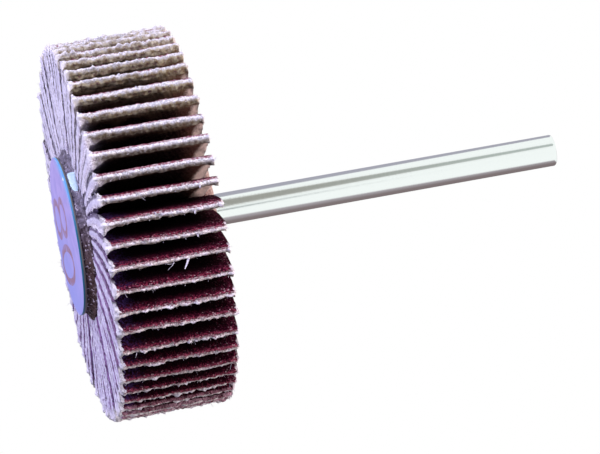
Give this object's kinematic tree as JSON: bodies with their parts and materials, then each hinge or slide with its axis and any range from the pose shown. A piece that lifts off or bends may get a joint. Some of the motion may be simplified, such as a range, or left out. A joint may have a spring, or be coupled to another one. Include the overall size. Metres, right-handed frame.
{
  "type": "flap wheel",
  "caption": "Small flap wheel: sheets of coarse abrasive cloth fanned round a resin hub, with a card label in front and a straight steel shank behind, for use in a rotary tool.",
  "frame": {"origin": "centre of the label's face, at the bottom of the part as it stands on its label", "axes": "+Z along the axis of rotation, from the label towards the free end of the shank; +X through the root of flap_01"},
  "size_m": [0.0374, 0.0375, 0.0503],
  "materials": {
    "steel": "bright ground steel with a mirror-like reflection",
    "resin": "cast brown-grey resin, rough, with loose grains stuck in it",
    "card": "smooth pale blue-violet card with a darker cut edge",
    "abrasive_cloth": "woven cotton backing with maroon aluminium oxide grit on one side, frayed at its edges"
  },
  "bodies": {
    "root": {"shank": "steel", "hub": "resin", "label": "card", "flap_01": "abrasive_cloth", "flap_02": "abrasive_cloth", "flap_03": "abrasive_cloth", "flap_04": "abrasive_cloth", "flap_05": "abrasive_cloth", "flap_06": "abrasive_cloth", "flap_07": "abrasive_cloth", "flap_08": "abrasive_cloth", "flap_09": "abrasive_cloth", "flap_10": "abrasive_cloth", "flap_11": "abrasive_cloth", "flap_12": "abrasive_cloth", "flap_13": "abrasive_cloth", "flap_14": "abrasive_cloth", "flap_15": "abrasive_cloth", "flap_16": "abrasive_cloth", "flap_17": "abrasive_cloth", "flap_18": "abrasive_cloth", "flap_19": "abrasive_cloth", "flap_20": "abrasive_cloth", "flap_21": "abrasive_cloth", "flap_22": "abrasive_cloth", "flap_23": "abrasive_cloth", "flap_24": "abrasive_cloth", "flap_25": "abrasive_cloth", "flap_26": "abrasive_cloth", "flap_27": "abrasive_cloth", "flap_28": "abrasive_cloth", "flap_29": "abrasive_cloth", "flap_30": "abrasive_cloth", "flap_31": "abrasive_cloth", "flap_32": "abrasive_cloth", "flap_33": "abrasive_cloth", "flap_34": "abrasive_cloth", "flap_35": "abrasive_cloth", "flap_36": "abrasive_cloth", "flap_37": "abrasive_cloth", "flap_38": "abrasive_cloth", "flap_39": "abrasive_cloth", "flap_40": "abrasive_cloth", "flap_41": "abrasive_cloth", "flap_42": "abrasive_cloth", "flap_43": "abrasive_cloth", "flap_44": "abrasive_cloth", "flap_45": "abrasive_cloth", "flap_46": "abrasive_cloth", "flap_47": "abrasive_cloth", "flap_48": "abrasive_cloth", "flap_49": "abrasive_cloth", "flap_50": "abrasive_cloth", "flap_51": "abrasive_cloth", "flap_52": "abrasive_cloth", "flap_53": "abrasive_cloth", "flap_54": "abrasive_cloth", "flap_55": "abrasive_cloth", "flap_56": "abrasive_cloth"}
  },
  "joints": []
}
